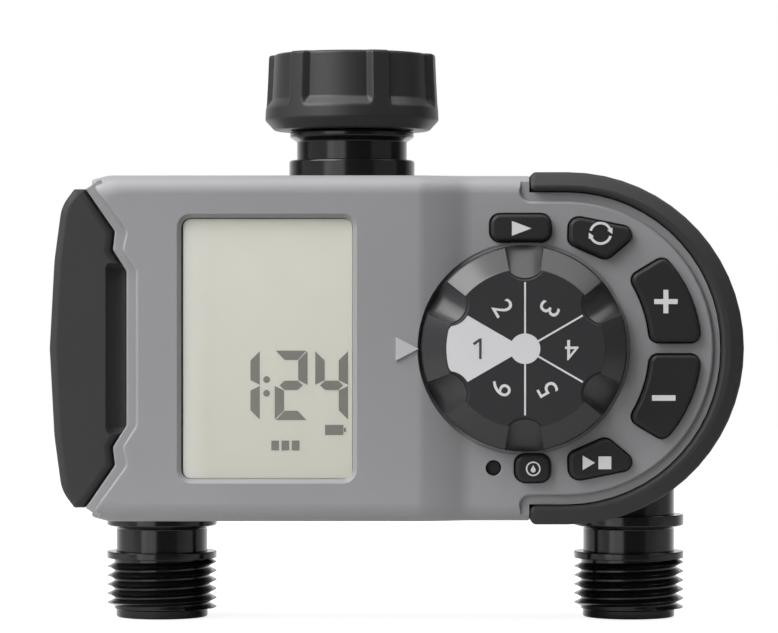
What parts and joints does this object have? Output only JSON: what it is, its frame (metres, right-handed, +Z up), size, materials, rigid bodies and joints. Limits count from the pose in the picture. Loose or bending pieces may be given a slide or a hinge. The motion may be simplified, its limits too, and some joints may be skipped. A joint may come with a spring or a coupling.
{
  "type": "drip irrigation timer",
  "caption": "Battery water timer for a garden tap: swivel hose nut on top, display, selector dial and keys in front, battery drawer at the side, threaded hose outlets below.",
  "frame": {"origin": "on the inlet axis, at the mouth of the swivel nut", "axes": "+Z up along the inlet axis towards the tap, -Y out of the display and the dial, +X towards the dial end"},
  "size_m": [0.1634, 0.0698, 0.1379],
  "materials": {
    "housing_grey": "fine texture",
    "black_plastic": "satin gloss",
    "bumper_rubber": "matte",
    "key_rubber": "matte",
    "clear_lens": "clear",
    "lcd_glass": "smooth",
    "dial_print": "printed",
    "circuit_green": "lacquered",
    "white_plastic": "moulded",
    "spring_steel": "plated",
    "winding": "wound copper",
    "seal_rubber": "matte",
    "cell_jacket": "printed sleeve",
    "lead_insulation": "extruded"
  },
  "bodies": {
    "housing": {"front_housing": "housing_grey", "rear_housing": "housing_grey", "side_bumper": "bumper_rubber", "display_window": "clear_lens", "lcd_panel": "lcd_glass", "lcd_frame": "white_plastic", "connector_strip_top": "seal_rubber", "connector_strip_bottom": "seal_rubber", "circuit_board": "circuit_green", "controller_chip": "black_plastic", "keypad_membrane": "seal_rubber", "rotary_switch": "white_plastic", "inlet_tailpiece": "black_plastic", "inlet_washer": "seal_rubber", "filter_screen": "spring_steel", "tailpiece_o_ring": "seal_rubber", "inlet_manifold": "black_plastic", "valve_body_left": "black_plastic", "valve_body_right": "black_plastic", "diaphragm_left": "seal_rubber", "diaphragm_right": "seal_rubber", "valve_bonnet_left": "black_plastic", "valve_bonnet_right": "black_plastic", "solenoid_coil_left": "winding", "solenoid_coil_right": "winding", "plunger_spring_left": "spring_steel", "plunger_spring_right": "spring_steel", "solenoid_lead_left": "lead_insulation", "solenoid_lead_right": "lead_insulation", "housing_screw_1": "spring_steel", "housing_screw_2": "spring_steel", "housing_screw_3": "spring_steel", "housing_screw_4": "spring_steel", "housing_screw_5": "spring_steel", "housing_screw_6": "spring_steel", "board_screw_1": "spring_steel", "board_screw_2": "spring_steel"},
    "nut": {"swivel_nut": "black_plastic"},
    "dial": {"selector_dial": "black_plastic", "dial_face": "dial_print", "dial_shaft": "white_plastic", "dial_clip": "spring_steel"},
    "drawer": {"battery_door": "bumper_rubber", "battery_tray": "black_plastic", "battery_1": "cell_jacket", "battery_2": "cell_jacket", "contact_strap": "spring_steel", "contact_plate": "spring_steel", "contact_spring_lower": "spring_steel", "contact_spring_upper": "spring_steel"},
    "arrow": {"arrow_key": "key_rubber"},
    "station": {"station_key": "key_rubber"},
    "plus": {"plus_key": "key_rubber"},
    "minus": {"minus_key": "key_rubber"},
    "manual": {"manual_key": "key_rubber"},
    "rain_delay": {"rain_delay_key": "key_rubber"},
    "reset": {"reset_button": "key_rubber"},
    "left_plunger": {"plunger_left": "spring_steel"},
    "right_plunger": {"plunger_right": "spring_steel"}
  },
  "joints": [
    {"name": "nut_swivel", "type": "hinge", "parent": "housing", "child": "nut", "pos_m": [0, 0, 0], "axis": [0, 0, 1], "continuous": true},
    {"name": "dial_turn", "type": "hinge", "parent": "housing", "child": "dial", "pos_m": [0.04075, -0.04, -0.0718], "axis": [0, 1, 0], "continuous": true},
    {"name": "drawer_slide", "type": "slide", "parent": "housing", "child": "drawer", "axis": [-1, 0, 0], "range_m": [0, 0.03]},
    {"name": "arrow_press", "type": "slide", "parent": "housing", "child": "arrow", "axis": [0, 1, 0], "range_m": [0, 0.001], "stiffness_N_per_m": 300, "springref_m": -0.0005},
    {"name": "station_press", "type": "slide", "parent": "housing", "child": "station", "axis": [0, 1, 0], "range_m": [0, 0.001], "stiffness_N_per_m": 300, "springref_m": -0.0005},
    {"name": "plus_press", "type": "slide", "parent": "housing", "child": "plus", "axis": [0, 1, 0], "range_m": [0, 0.001], "stiffness_N_per_m": 300, "springref_m": -0.0005},
    {"name": "minus_press", "type": "slide", "parent": "housing", "child": "minus", "axis": [0, 1, 0], "range_m": [0, 0.001], "stiffness_N_per_m": 300, "springref_m": -0.0005},
    {"name": "manual_press", "type": "slide", "parent": "housing", "child": "manual", "axis": [0, 1, 0], "range_m": [0, 0.001], "stiffness_N_per_m": 300, "springref_m": -0.0005},
    {"name": "rain_delay_press", "type": "slide", "parent": "housing", "child": "rain_delay", "axis": [0, 1, 0], "range_m": [0, 0.001], "stiffness_N_per_m": 300, "springref_m": -0.0005},
    {"name": "reset_press", "type": "slide", "parent": "housing", "child": "reset", "axis": [0, 1, 0], "range_m": [0, 0.001], "stiffness_N_per_m": 300, "springref_m": -0.0005},
    {"name": "left_plunger_lift", "type": "slide", "parent": "housing", "child": "left_plunger", "axis": [0, 0, 1], "range_m": [0, 0.0025], "stiffness_N_per_m": 120, "springref_m": -0.004, "deforming": ["plunger_spring_left"]},
    {"name": "right_plunger_lift", "type": "slide", "parent": "housing", "child": "right_plunger", "axis": [0, 0, 1], "range_m": [0, 0.0025], "stiffness_N_per_m": 120, "springref_m": -0.004, "deforming": ["plunger_spring_right"]}
  ]
}
